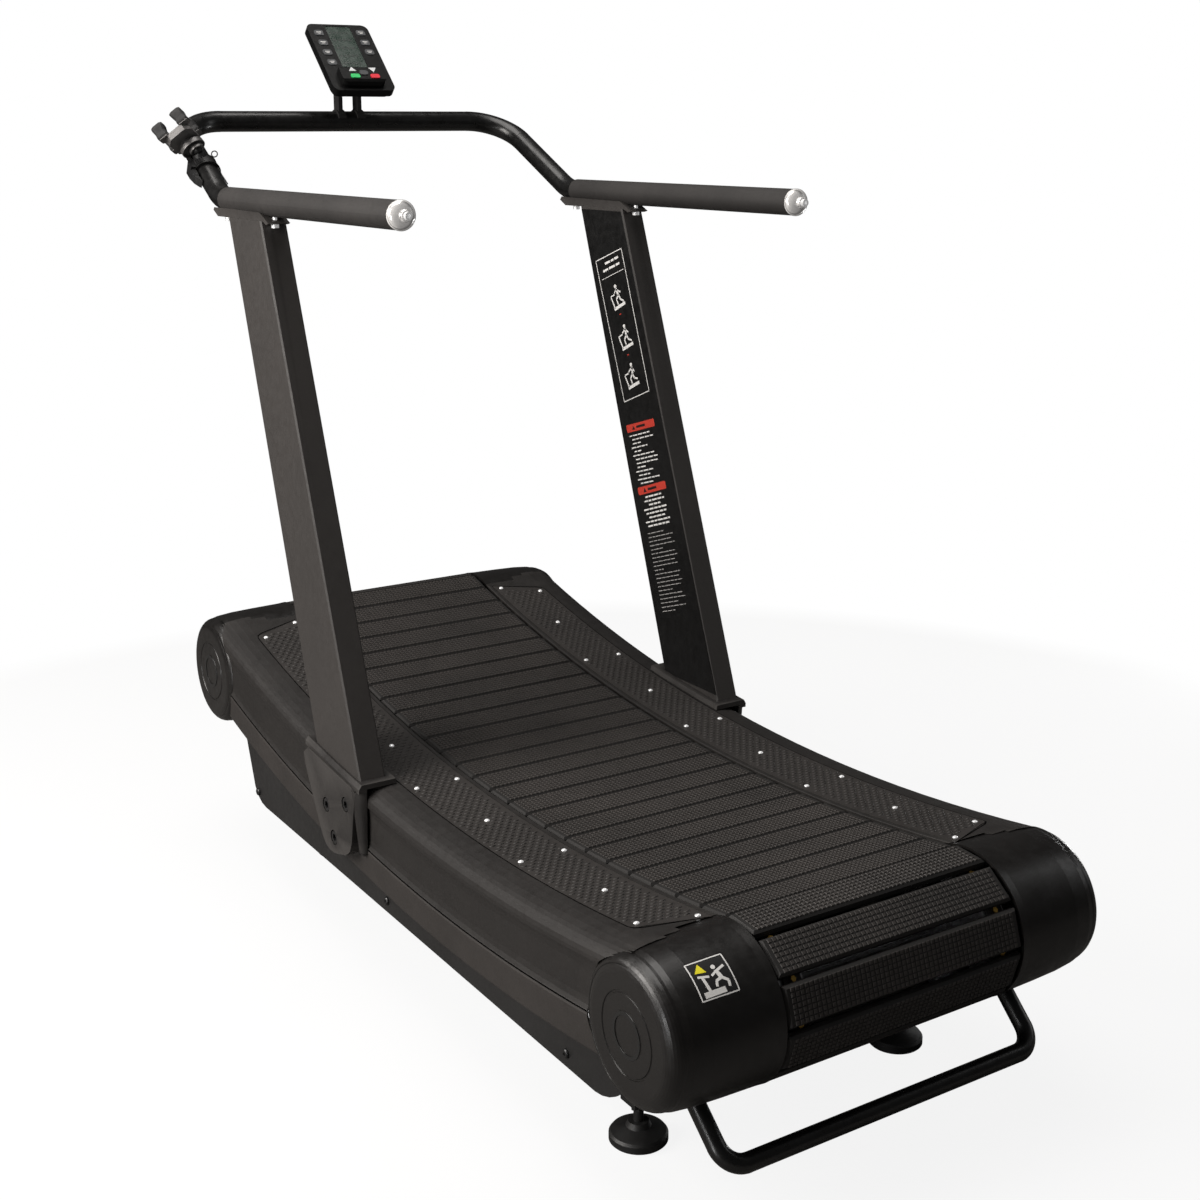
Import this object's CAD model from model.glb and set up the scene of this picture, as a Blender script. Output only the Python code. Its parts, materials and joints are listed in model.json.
"""Curved slat-belt treadmill: the looks laid over its CAD pieces.

Metres, Z up, the floor at z = 0. X runs across the machine (left is -X) and Y along it
(front, the console end, is +Y). The deck is an arc about an axis high above the machine, and
the belt goes over it and round a wheel at each end. Tables marked mm are in millimetres.
"""
import bpy, json, math
import numpy as np
from mathutils import Matrix, Vector
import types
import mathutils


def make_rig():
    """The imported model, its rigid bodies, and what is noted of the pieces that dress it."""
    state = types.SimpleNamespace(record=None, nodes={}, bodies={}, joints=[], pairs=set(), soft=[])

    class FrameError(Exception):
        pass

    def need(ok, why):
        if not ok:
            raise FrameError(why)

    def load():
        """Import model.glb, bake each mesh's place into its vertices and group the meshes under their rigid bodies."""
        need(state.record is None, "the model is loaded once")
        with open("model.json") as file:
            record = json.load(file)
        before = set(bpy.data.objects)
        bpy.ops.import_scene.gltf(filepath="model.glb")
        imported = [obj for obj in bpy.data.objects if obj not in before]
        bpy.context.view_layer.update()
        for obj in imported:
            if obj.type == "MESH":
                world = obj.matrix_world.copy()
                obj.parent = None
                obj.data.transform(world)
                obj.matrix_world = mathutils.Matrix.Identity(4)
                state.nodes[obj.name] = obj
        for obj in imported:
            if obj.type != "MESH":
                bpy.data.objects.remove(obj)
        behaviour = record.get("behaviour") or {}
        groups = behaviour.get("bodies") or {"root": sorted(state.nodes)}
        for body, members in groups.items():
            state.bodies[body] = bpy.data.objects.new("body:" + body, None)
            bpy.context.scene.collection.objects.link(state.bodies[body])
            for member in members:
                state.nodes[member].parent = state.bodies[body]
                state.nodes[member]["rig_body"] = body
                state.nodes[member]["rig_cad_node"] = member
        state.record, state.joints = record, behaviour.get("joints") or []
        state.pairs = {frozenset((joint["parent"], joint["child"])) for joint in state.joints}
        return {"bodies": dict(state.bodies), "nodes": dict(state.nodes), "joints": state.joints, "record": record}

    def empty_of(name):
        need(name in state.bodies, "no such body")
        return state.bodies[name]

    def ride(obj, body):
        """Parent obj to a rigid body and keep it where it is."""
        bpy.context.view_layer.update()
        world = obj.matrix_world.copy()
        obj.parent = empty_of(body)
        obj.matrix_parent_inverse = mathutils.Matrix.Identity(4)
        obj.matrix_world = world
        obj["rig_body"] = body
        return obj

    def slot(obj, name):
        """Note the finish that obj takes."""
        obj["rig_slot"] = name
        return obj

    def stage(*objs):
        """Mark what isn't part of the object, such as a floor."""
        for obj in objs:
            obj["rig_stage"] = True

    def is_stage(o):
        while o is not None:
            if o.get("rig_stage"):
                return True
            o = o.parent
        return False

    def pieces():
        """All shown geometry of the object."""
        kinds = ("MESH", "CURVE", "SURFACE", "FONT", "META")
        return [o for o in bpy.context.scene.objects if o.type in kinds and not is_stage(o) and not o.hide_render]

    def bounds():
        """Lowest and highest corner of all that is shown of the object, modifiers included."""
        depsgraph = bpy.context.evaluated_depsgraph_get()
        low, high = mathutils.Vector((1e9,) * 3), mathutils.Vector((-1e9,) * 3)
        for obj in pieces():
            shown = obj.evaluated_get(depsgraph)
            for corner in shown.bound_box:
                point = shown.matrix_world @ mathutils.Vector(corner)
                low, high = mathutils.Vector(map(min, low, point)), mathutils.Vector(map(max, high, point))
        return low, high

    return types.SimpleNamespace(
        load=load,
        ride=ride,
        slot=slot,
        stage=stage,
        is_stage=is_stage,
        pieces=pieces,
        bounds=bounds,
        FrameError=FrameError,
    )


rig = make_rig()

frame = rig.load()
CAD_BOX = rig.bounds()
NODES = frame["nodes"]
SIDES = ((-1, "left"), (1, "right"))

# ---------------------------------------------------------------- deck and belt
DECK_Y = -0.195            # lowest point of the deck, straight below the centre of its arc
DECK_LOW_Z = 0.378
DECK_RADIUS = 3.600
DECK_CENTRE_Z = DECK_LOW_Z + DECK_RADIUS
REAR_Y, FRONT_Y = -0.791, 0.789     # wheel axles
WHEEL_RADIUS = 0.1175               # to the tread face of the slats
PITCH_DEPTH = 0.014                 # from the tread face in to the belt's pitch line
SLAT_COUNT = 61
SLAT_PHASE = 0.0234                 # belt distance of slat 0 from the deck's lowest point

AXLE_ARC = DECK_RADIUS + WHEEL_RADIUS
REAR_Z = DECK_CENTRE_Z - math.sqrt(AXLE_ARC ** 2 - (REAR_Y - DECK_Y) ** 2)
FRONT_Z = DECK_CENTRE_Z - math.sqrt(AXLE_ARC ** 2 - (FRONT_Y - DECK_Y) ** 2)
REAR_ANGLE = math.asin((DECK_Y - REAR_Y) / AXLE_ARC)
FRONT_ANGLE = math.asin((FRONT_Y - DECK_Y) / AXLE_ARC)
ENDS = (("rear", REAR_Y, REAR_Z), ("front", FRONT_Y, FRONT_Z))

TOP_PITCH_RADIUS = DECK_RADIUS + PITCH_DEPTH
WHEEL_PITCH_RADIUS = WHEEL_RADIUS - PITCH_DEPTH
SLOPE = math.atan2(FRONT_Z - REAR_Z, FRONT_Y - REAR_Y)       # of the bottom run
BOTTOM_RUN = math.hypot(FRONT_Z - REAR_Z, FRONT_Y - REAR_Y)
TOP_REAR = REAR_ANGLE * TOP_PITCH_RADIUS                     # top run behind the lowest point
TOP_FRONT = FRONT_ANGLE * TOP_PITCH_RADIUS                   # and ahead of it
FRONT_WRAP = (math.pi + FRONT_ANGLE - SLOPE) * WHEEL_PITCH_RADIUS
REAR_WRAP = (math.pi + REAR_ANGLE + SLOPE) * WHEEL_PITCH_RADIUS
SLAT_PITCH = (TOP_REAR + TOP_FRONT + FRONT_WRAP + BOTTOM_RUN + REAR_WRAP) / SLAT_COUNT
FIRST_SLAT = math.ceil((-TOP_REAR - SLAT_PHASE) / SLAT_PITCH)
SLATS = range(FIRST_SLAT, FIRST_SLAT + SLAT_COUNT)
RUNS = ("top", "front", "bottom", "rear")


def deck_angle(y):
    return math.asin((y - DECK_Y) / DECK_RADIUS)


def deck_point(angle, depth):
    """(y, z) at an angle along the deck arc, depth below its surface."""
    radius = DECK_RADIUS + depth
    return DECK_Y + radius * math.sin(angle), DECK_CENTRE_Z - radius * math.cos(angle)


def belt_path(distance):
    """Run, y, z and tilt of the pitch line, at a distance from the deck's lowest point."""
    if distance < TOP_FRONT:
        tilt = distance / TOP_PITCH_RADIUS
        return "top", *deck_point(tilt, PITCH_DEPTH), tilt
    distance -= TOP_FRONT
    if distance < FRONT_WRAP:
        turn = math.pi / 2 + FRONT_ANGLE - distance / WHEEL_PITCH_RADIUS
        y = FRONT_Y + WHEEL_PITCH_RADIUS * math.cos(turn)
        z = FRONT_Z + WHEEL_PITCH_RADIUS * math.sin(turn)
        return "front", y, z, turn - math.pi / 2
    distance -= FRONT_WRAP
    if distance < BOTTOM_RUN:
        y = FRONT_Y + WHEEL_PITCH_RADIUS * math.sin(SLOPE) - distance * math.cos(SLOPE)
        z = FRONT_Z - WHEEL_PITCH_RADIUS * math.cos(SLOPE) - distance * math.sin(SLOPE)
        return "bottom", y, z, SLOPE - math.pi
    distance -= BOTTOM_RUN
    turn = 1.5 * math.pi + SLOPE - distance / WHEEL_PITCH_RADIUS
    y = REAR_Y + WHEEL_PITCH_RADIUS * math.cos(turn)
    z = REAR_Z + WHEEL_PITCH_RADIUS * math.sin(turn)
    return "rear", y, z, turn - math.pi / 2


def belt_frame(distance):
    """The run at a belt distance, and a function that places (x, along, out) points there."""
    run, y, z, tilt = belt_path(distance)
    cos, sin = math.cos(tilt), math.sin(tilt)

    def place(x, along, out):
        return x, y + along * cos - out * sin, z + along * sin + out * cos

    return run, place


# ---------------------------------------------------------------- shader helpers
# Sockets of a Mix node in colour mode: inputs by index, then the output
MIX_FACTOR, MIX_A, MIX_B = 0, 6, 7
MIX_RESULT = 2


def new_material(name):
    material = bpy.data.materials.new(name)
    material.use_nodes = True
    tree = material.node_tree
    return material, tree, tree.nodes["Principled BSDF"]


def set_inputs(node, values):
    for name, value in values.items():
        node.inputs[name].default_value = value


def object_coords(tree):
    return tree.nodes.new("ShaderNodeTexCoord").outputs["Object"]


def remap(tree, value, low, high, start=0.3, end=0.7):
    """Map start..end of a value to low..high."""
    node = tree.nodes.new("ShaderNodeMapRange")
    set_inputs(node, {"From Min": start, "From Max": end, "To Min": low, "To Max": high})
    tree.links.new(value, node.inputs["Value"])
    return node.outputs["Result"]


def noise(tree, scale, detail=3.0, vector=None):
    node = tree.nodes.new("ShaderNodeTexNoise")
    set_inputs(node, {"Scale": scale, "Detail": detail, "Roughness": 0.6})
    tree.links.new(vector or object_coords(tree), node.inputs["Vector"])
    return node.outputs["Fac"]


def mix_colour(tree, factor, first, second):
    """Blend two colours; each is an RGB tuple or a socket."""
    node = tree.nodes.new("ShaderNodeMix")
    node.data_type = "RGBA"
    for index, colour in ((MIX_A, first), (MIX_B, second)):
        if isinstance(colour, tuple):
            node.inputs[index].default_value = (*colour, 1)
        else:
            tree.links.new(colour, node.inputs[index])
    tree.links.new(factor, node.inputs[MIX_FACTOR])
    return node.outputs[MIX_RESULT]


def scaled(colour, factor):
    return tuple(channel * factor for channel in colour)


def add_bump(tree, shader, height, strength, distance=None):
    node = tree.nodes.new("ShaderNodeBump")
    node.inputs["Strength"].default_value = strength
    if distance is not None:
        node.inputs["Distance"].default_value = distance
    tree.links.new(height, node.inputs["Height"])
    tree.links.new(node.outputs["Normal"], shader.inputs["Normal"])


# ---------------------------------------------------------------- materials
def moulded(name, colour, roughness, grain, bump, variation, distance=0.0002, patch=7.0,
            metallic=0.0, coat=0.0, specular=0.5, wear=0.0, wear_colour=None):
    """Paint, plastic or rubber: mottled colour, uneven roughness and a fine grain in relief."""
    material, tree, shader = new_material(name)
    mottle = noise(tree, patch, detail=4.0)
    fine = noise(tree, grain, detail=2.0)
    smudge = noise(tree, patch * 9, detail=5.0)
    base = mix_colour(tree, remap(tree, mottle, 0, 1, start=0.35, end=0.65),
                      scaled(colour, 1 - variation), scaled(colour, 1 + variation))
    if wear:
        geometry = tree.nodes.new("ShaderNodeNewGeometry")
        edge = remap(tree, geometry.outputs["Pointiness"], 0, wear, start=0.52, end=0.6)
        base = mix_colour(tree, edge, base, wear_colour)
    tree.links.new(base, shader.inputs["Base Color"])
    set_inputs(shader, {"Metallic": metallic, "Specular IOR Level": specular,
                        "Coat Weight": coat, "Coat Roughness": 0.18})
    uneven = remap(tree, smudge, roughness - 0.08, roughness + 0.08)
    tree.links.new(uneven, shader.inputs["Roughness"])
    add_bump(tree, shader, fine, strength=bump, distance=distance)
    return material


def brushed(name, colour, roughness, axis, metallic=1.0, glint=0.0):
    """Metal with fine machining lines along one axis; glint is its emission strength."""
    material, tree, shader = new_material(name)
    mapping = tree.nodes.new("ShaderNodeMapping")
    tree.links.new(object_coords(tree), mapping.inputs["Vector"])
    stretch = [260.0, 260.0, 260.0]
    stretch[axis] = 9.0
    mapping.inputs["Scale"].default_value = stretch
    lines = noise(tree, 5.0, vector=mapping.outputs["Vector"])
    base = mix_colour(tree, remap(tree, lines, 0, 1), scaled(colour, 0.82), colour)
    tree.links.new(base, shader.inputs["Base Color"])
    shader.inputs["Metallic"].default_value = metallic
    if glint:
        tree.links.new(base, shader.inputs["Emission Color"])
        shader.inputs["Emission Strength"].default_value = glint
    uneven = remap(tree, lines, roughness * 0.7, roughness * 1.4)
    tree.links.new(uneven, shader.inputs["Roughness"])
    add_bump(tree, shader, lines, strength=0.08, distance=0.0002)
    return material


def ink(name, colour, roughness=0.5):
    material, tree, shader = new_material(name)
    speckle = noise(tree, 1200.0, detail=2.0)
    base = mix_colour(tree, remap(tree, speckle, 0, 1), scaled(colour, 0.86), colour)
    tree.links.new(base, shader.inputs["Base Color"])
    uneven = remap(tree, speckle, roughness - 0.05, roughness + 0.08)
    tree.links.new(uneven, shader.inputs["Roughness"])
    return material


def glass(name):
    """Dark green, glossy console window."""
    material, tree, shader = new_material(name)
    cloud = noise(tree, 40.0, detail=4.0)
    base = mix_colour(tree, remap(tree, cloud, 0, 1), (0.018, 0.034, 0.026), (0.036, 0.056, 0.045))
    tree.links.new(base, shader.inputs["Base Color"])
    tree.links.new(remap(tree, cloud, 0.10, 0.2), shader.inputs["Roughness"])
    set_inputs(shader, {"Coat Weight": 0.4, "Coat Roughness": 0.06})
    add_bump(tree, shader, noise(tree, 900.0), strength=0.03)
    return material


# (facing position, brightness) of the inner bands of the chrome ramp
CHROME_BANDS = ((0.22, 0.86), (0.34, 0.30), (0.44, 0.90), (0.62, 0.95), (0.74, 0.12), (0.84, 0.75))


def chrome(name):
    """Polished plating with bright and dark bands between its facing side and its rim."""
    material, tree, shader = new_material(name)
    weight = tree.nodes.new("ShaderNodeLayerWeight")
    weight.inputs["Blend"].default_value = 0.45
    bands = tree.nodes.new("ShaderNodeValToRGB")
    stops = bands.color_ramp.elements
    stops[0].position = 0.0
    stops[0].color = (0.80, 0.79, 0.78, 1)
    stops[1].position = 1.0
    stops[1].color = (0.62, 0.60, 0.58, 1)
    for position, level in CHROME_BANDS:
        stops.new(position).color = (level, level * 0.985, level * 0.97, 1)
    tree.links.new(weight.outputs["Facing"], bands.inputs["Fac"])
    for socket in ("Base Color", "Emission Color"):
        tree.links.new(bands.outputs["Color"], shader.inputs[socket])
    set_inputs(shader, {"Metallic": 0.35, "Emission Strength": 0.12})
    tree.links.new(remap(tree, noise(tree, 60.0), 0.12, 0.26), shader.inputs["Roughness"])
    add_bump(tree, shader, noise(tree, 700.0), strength=0.03)
    return material


# Name, colour, roughness, grain scale, bump strength, colour variation, other settings
MOULDED = (
    ("frame_paint", (0.012, 0.0117, 0.0117), 0.46, 1500, 0.25, 0.2, {}),
    ("black_hardware", (0.008, 0.008, 0.0085), 0.34, 2400, 0.1, 0.3, {}),
    ("textured_paint", (0.0215, 0.0188, 0.0172), 0.58, 1700, 0.45, 0.13,
     dict(distance=0.00025, wear=0.35, wear_colour=(0.06, 0.055, 0.052))),
    ("cover_plastic", (0.0128, 0.0112, 0.0102), 0.54, 1900, 0.4, 0.12,
     dict(distance=0.00025, wear=0.3, wear_colour=(0.045, 0.041, 0.038))),
    ("trim_plastic", (0.0300, 0.0262, 0.0240), 0.58, 1700, 0.45, 0.13, dict(distance=0.00025)),
    ("bracket_paint", (0.016, 0.0145, 0.0138), 0.46, 1500, 0.35, 0.15,
     dict(wear=0.5, wear_colour=(0.075, 0.07, 0.066))),
    ("cap_plastic", (0.0080, 0.0072, 0.0067), 0.36, 2600, 0.22, 0.16, dict(coat=0.10)),
    ("pad_plastic", (0.0245, 0.0215, 0.0198), 0.56, 2200, 0.3, 0.14, {}),
    ("bar_paint", (0.0055, 0.0054, 0.0054), 0.32, 2600, 0.14, 0.2, dict(coat=0.25)),
    ("grip_rubber", (0.021, 0.019, 0.018), 0.66, 2000, 0.5, 0.16, {}),
    ("console_plastic", (0.0022, 0.0022, 0.0023), 0.42, 3000, 0.16, 0.2,
     dict(coat=0.03, specular=0.18)),
    ("key_grey", (0.055, 0.058, 0.062), 0.48, 3500, 0.1, 0.1, {}),
    ("key_white", (0.72, 0.73, 0.74), 0.45, 3500, 0.08, 0.05, {}),
    ("key_green", (0.03, 0.60, 0.15), 0.42, 3500, 0.08, 0.1, {}),
    ("key_red", (0.78, 0.018, 0.04), 0.42, 3500, 0.08, 0.1, {}),
    ("slat_rubber", (0.0095, 0.0083, 0.0075), 0.66, 2100, 0.4, 0.22, dict(patch=5.0)),
    ("stud_rubber", (0.0290, 0.0250, 0.0225), 0.58, 2400, 0.3, 0.22, dict(patch=5.0)),
    ("foot_plastic", (0.009, 0.009, 0.009), 0.5, 1800, 0.3, 0.25, {}),
    ("wheel_rubber", (0.014, 0.014, 0.014), 0.6, 1400, 0.4, 0.25, {}),
    ("clamp_plastic", (0.008, 0.008, 0.0085), 0.42, 2200, 0.2, 0.25, {}),
    ("cradle_plastic", (0.155, 0.150, 0.148), 0.36, 2600, 0.15, 0.12, dict(metallic=0.4)),
    ("claw_rubber", (0.008, 0.008, 0.0085), 0.7, 1600, 0.4, 0.25, {}),
    ("gap_black", (0.0012, 0.0011, 0.0011), 0.85, 2000, 0.2, 0.3, dict(specular=0.02)),
    ("film", (0.0035, 0.0034, 0.0034), 0.42, 3000, 0.08, 0.2, dict(coat=0.1)),
)
# Name, colour, roughness, axis of the machining lines (0 is X, 2 is Z), other settings
BRUSHED = (
    ("bearing_steel", (0.55, 0.56, 0.58), 0.28, 0, {}),
    ("drum_aluminium", (0.6, 0.61, 0.63), 0.32, 0, {}),
    ("bright_screw", (0.95, 0.95, 0.95), 0.30, 2, dict(metallic=0.55, glint=0.22)),
    ("brass", (0.62, 0.40, 0.10), 0.3, 1, {}),
)
# Name, colour, roughness where it isn't the usual one
INKS = (
    ("ink_white", (0.86, 0.85, 0.83)),
    ("ink_grey", (0.42, 0.41, 0.40)),
    ("ink_red", (0.62, 0.05, 0.03)),
    ("ink_yellow", (0.93, 0.82, 0.02)),
    ("ink_black", (0.006, 0.006, 0.0065)),
    ("ink_tone", (0.012, 0.012, 0.012), 0.3),
    ("display_ink", (0.012, 0.022, 0.017), 0.35),
)
MATERIALS = {row[0]: moulded(*row[:-1], **row[-1]) for row in MOULDED}
MATERIALS.update({row[0]: brushed(*row[:-1], **row[-1]) for row in BRUSHED})
MATERIALS.update({row[0]: ink(*row) for row in INKS})
MATERIALS["console_glass"] = glass("console_glass")
MATERIALS["bar_chrome"] = chrome("bar_chrome")

# CAD pieces whose material isn't the one named after their slot
NODE_MATERIALS = {"side_cover_left": "cover_plastic", "side_cover_right": "cover_plastic",
                  "lower_trims": "trim_plastic"}


def dress_cad_pieces():
    for part in frame["record"]["subparts"]:
        name = part["node"]
        mesh = NODES[name].data
        mesh.materials.clear()
        mesh.materials.append(MATERIALS[NODE_MATERIALS.get(name, part["material_slot"])])
        for polygon in mesh.polygons:
            polygon.material_index = 0
    for name, obj in NODES.items():
        if name not in ("slats_top", "slats_front", "slats_rear", "slats_bottom"):
            obj.hide_set(False)


# ---------------------------------------------------------------- mesh helpers
class Shape:
    """Collects the vertices and faces of one object.

    A place function turns local (a, b, height) coordinates into a point.
    """

    def __init__(self):
        self.verts, self.faces, self.indices = [], [], []

    def add(self, verts, faces, index=0):
        first = len(self.verts)
        self.verts.extend(verts)
        self.faces.extend([tuple(first + i for i in face) for face in faces])
        self.indices.extend([index] * len(faces))

    def prism(self, outline, low, high, place, index=0):
        """An outline raised from low to high."""
        n = len(outline)
        verts = [place(a, b, height) for height in (low, high) for a, b in outline]
        faces = [range(n, 2 * n), range(n - 1, -1, -1)]
        faces += [(i, (i + 1) % n, n + (i + 1) % n, n + i) for i in range(n)]
        self.add(verts, faces, index)

    def stroke(self, start, end, width, place, low, high):
        """A straight bar between two points."""
        along = Vector((end[0] - start[0], end[1] - start[1]))
        half = Vector((-along.y, along.x)).normalized() * width / 2
        corners = [(start[0] + half.x, start[1] + half.y), (end[0] + half.x, end[1] + half.y),
                   (end[0] - half.x, end[1] - half.y), (start[0] - half.x, start[1] - half.y)]
        self.prism(corners, low, high, place)

    def sweep(self, sections, caps=None, flip=False, closed=False):
        """Skin through closed sections of equal size.

        caps: vertex order of the first and the last cap; flip: turn the sides over;
        closed: join the last section to the first.
        """
        n, count = len(sections[0]), len(sections)
        faces = []
        for i in range(count if closed else count - 1):
            here, there = n * i, n * ((i + 1) % count)
            for j in range(n):
                k = (j + 1) % n
                face = (here + j, here + k, there + k, there + j)
                faces.append(face[::-1] if flip else face)
        if caps:
            faces += [caps[0], [n * (count - 1) + j for j in caps[1]]]
        self.add([point for section in sections for point in section], faces)

    def loft(self, rings, place):
        """Capped skin through (outline, height) rings."""
        n = len(rings[0][0])
        sections = [[place(a, b, height) for a, b in outline] for outline, height in rings]
        self.sweep(sections, caps=(range(n - 1, -1, -1), range(n)))

    def make(self, name, material, slot=None, body="frame", smooth=False):
        """Make the object. The slot is the material's own name unless another is given."""
        mesh = bpy.data.meshes.new(name)
        mesh.from_pydata([tuple(v) for v in self.verts], [], self.faces)
        mesh.validate()
        mesh.update()
        obj = bpy.data.objects.new(name, mesh)
        bpy.context.scene.collection.objects.link(obj)
        several = not isinstance(material, str)
        for material_name in material if several else [material]:
            mesh.materials.append(MATERIALS[material_name])
        if several:
            mesh.polygons.foreach_set("material_index", self.indices)
        if smooth:
            mesh.polygons.foreach_set("use_smooth", [True] * len(mesh.polygons))
        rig.ride(obj, body)
        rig.slot(obj, slot or material)
        return obj


def tube(name, path, radius, material, slot):
    """A ten-sided round tube swept along a path."""
    sides = 10
    path = [Vector(point) for point in path]
    count = len(path)
    verts, faces = [], []
    up = None
    for i, point in enumerate(path):
        tangent = (path[min(i + 1, count - 1)] - path[max(i - 1, 0)]).normalized()
        if up is None:
            up = Vector((0, 0, 1)) if abs(tangent.z) < 0.9 else Vector((1, 0, 0))
        up = (up - tangent * up.dot(tangent)).normalized()
        across = tangent.cross(up)
        for k in range(sides):
            angle = 2 * math.pi * k / sides
            verts.append(point + (up * math.cos(angle) + across * math.sin(angle)) * radius)
    for here in range(0, (count - 1) * sides, sides):
        there = here + sides
        for k in range(sides):
            k2 = (k + 1) % sides
            faces.append((here + k, there + k, there + k2, here + k2))
    faces.append(range(sides))
    faces.append(range(count * sides - 1, (count - 1) * sides - 1, -1))
    shape = Shape()
    shape.add(verts, faces)
    obj = shape.make(name, material, slot)
    for polygon in obj.data.polygons:
        polygon.use_smooth = len(polygon.vertices) == 4


def smooth_by_angle(obj, degrees):
    bpy.context.view_layer.objects.active = obj
    for other in bpy.context.selected_objects:
        other.select_set(False)
    obj.select_set(True)
    bpy.ops.object.shade_smooth_by_angle(angle=math.radians(degrees))
    obj.select_set(False)


def lathe(name, profile, centre, axis, material, slot=None, segments=96, smooth_degrees=35):
    """A (radius, height) profile turned about an axis through the centre."""
    axis = Vector(axis).normalized()
    side = axis.orthogonal().normalized()
    other = axis.cross(side)
    centre = Vector(centre)
    angles = [2 * math.pi * k / segments for k in range(segments)]
    shape = Shape()
    shape.sweep([[centre + axis * height + (side * math.cos(a) + other * math.sin(a)) * radius
                  for a in angles] for radius, height in profile])
    smooth_by_angle(shape.make(name, material, slot), smooth_degrees)


def polygon(x, y, radius, count):
    """Corners of a regular polygon."""
    turns = [2 * math.pi * k / count for k in range(count)]
    return [(x + radius * math.cos(t), y + radius * math.sin(t)) for t in turns]


def mm_frame(origin, a_axis, b_axis, out_axis):
    """A place function for mm coordinates along three axes from an origin."""
    return lambda a, b, out: tuple(
        origin + a_axis * (a / 1e3) + b_axis * (b / 1e3) + out_axis * (out / 1e3))


# ---------------------------------------------------------------- studs on the slats
SLAT_HALF_WIDTH = 0.2215
STUD_MARGIN = 0.012             # of slat width left without studs
STUD_PITCH_X = 0.00834
STUD_PITCH_Y = 0.0077
STUD_ROWS = 7
STUD_COLUMNS = int((2 * SLAT_HALF_WIDTH - STUD_MARGIN) / STUD_PITCH_X)
# (half width, height above the pitch line) of the foot and the top of a stud
STUD_LEVELS = ((0.0031, PITCH_DEPTH - 0.0002), (0.0024, PITCH_DEPTH + 0.0012))
STUD_FACES = ((4, 5, 6, 7), (0, 1, 5, 4), (1, 2, 6, 5), (2, 3, 7, 6), (3, 0, 4, 7))


def centred(count, pitch):
    return [(i - (count - 1) / 2) * pitch for i in range(count)]


def slat_studs():
    shapes = {run: Shape() for run in RUNS}
    for slat in SLATS:
        run, place = belt_frame(SLAT_PHASE + slat * SLAT_PITCH)
        for y in centred(STUD_ROWS, STUD_PITCH_Y):
            for x in centred(STUD_COLUMNS, STUD_PITCH_X):
                corners = [place(x + i * half, y + j * half, height)
                           for half, height in STUD_LEVELS
                           for i, j in ((-1, -1), (1, -1), (1, 1), (-1, 1))]
                shapes[run].add(corners, STUD_FACES)
    for run, shape in shapes.items():
        shape.make("slat_studs_" + run, "stud_rubber", "slat_rubber", "belt_" + run)


# ---------------------------------------------------------------- step pads
PAD_INNER, PAD_OUTER = 0.236, 0.345
BUMP_PITCH_X, BUMP_PITCH_Y = 0.0155, 0.0102
BUMP_LIFT = 0.0004              # of the bump feet, below the deck arc
BUMP_STATIONS = 7               # sections along one crescent
SCREW_CLEARANCE = 9.5           # mm
# (x, y) of the pad screws, mm
PAD_SCREWS = (
    (250, 708), (330, 670), (290, 528), (250, 349), (330, 347), (290, 169), (250, -11),
    (330, -12), (290, -192), (250, -373), (330, -373), (290, -554), (250, -735), (330, -698))


def bump_mesh():
    """One crescent: thick in the middle, with horns at both ends."""
    verts, faces = [], []
    for i in range(BUMP_STATIONS):
        u = -1 + 2 * i / (BUMP_STATIONS - 1)
        fullness = (1 - u * u) ** 0.5
        y = -0.0030 + 0.0042 * u * u
        thick = 0.0034 * fullness + 0.0004
        height = 0.0027 * fullness + 0.0001
        for dy, z in ((0, 0), (0.0003, height), (thick, height * 0.35), (thick * 1.35, 0)):
            verts.append((u * 0.0066, y + dy, z))
    for i in range(BUMP_STATIONS - 1):
        for j in range(3):
            here, there = i * 4 + j, (i + 1) * 4 + j
            faces.append((here, there, there + 1, here + 1))
    return verts, faces


def bump_fits(x, y):
    """Whether a bump at (x, y) is inside the pad's slanted ends and clear of its screws."""
    across = (x - PAD_INNER) / (PAD_OUTER - PAD_INNER)
    if x > PAD_OUTER - 0.008:
        return False
    if y > 0.722 - 0.037 * across - 0.016 or y < -0.751 + 0.038 * across + 0.016:
        return False
    return not any((x * 1e3 - screw_x) ** 2 + (y * 1e3 - screw_y) ** 2 < SCREW_CLEARANCE ** 2
                   for screw_x, screw_y in PAD_SCREWS)


def pad_bumps():
    bump_verts, bump_faces = bump_mesh()
    for side, tag in SIDES:
        faces = bump_faces if side < 0 else [face[::-1] for face in bump_faces]
        shape = Shape()
        for row in range(-72, 75):
            y = row * BUMP_PITCH_Y - 0.0142
            angle = deck_angle(y)
            cos, sin = math.cos(angle), math.sin(angle)
            foot_y, foot_z = deck_point(angle, BUMP_LIFT)
            for column in range(7):
                stagger = BUMP_PITCH_X / 2 if row % 2 else 0.0
                x = PAD_INNER + 0.0135 + column * BUMP_PITCH_X + stagger
                if bump_fits(x, y):
                    shape.add([(side * (x + dx), foot_y + dy * cos - dz * sin,
                                foot_z + dy * sin + dz * cos) for dx, dy, dz in bump_verts],
                              faces)
        shape.make("pad_bumps_" + tag, "pad_plastic", smooth=True)


# (x, y) of the pad edge on the right side, from its rear inner corner to its front one
PAD_EDGE = (
    (0.2362, -0.7512), (0.332, -0.7178), (0.3425, -0.7105), (0.3457, -0.7000),
    (0.3457, 0.6720), (0.3425, 0.6822), (0.332, 0.6900), (0.2362, 0.7222))
PAD_EDGE_STEP = 0.015
# (sideways offset, depth below the deck arc) round the section of the gap strip
PAD_GAP_SECTION = ((-0.0011, 0.0008), (-0.0011, -0.00035), (0.0011, -0.00035), (0.0011, 0.0008))


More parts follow.
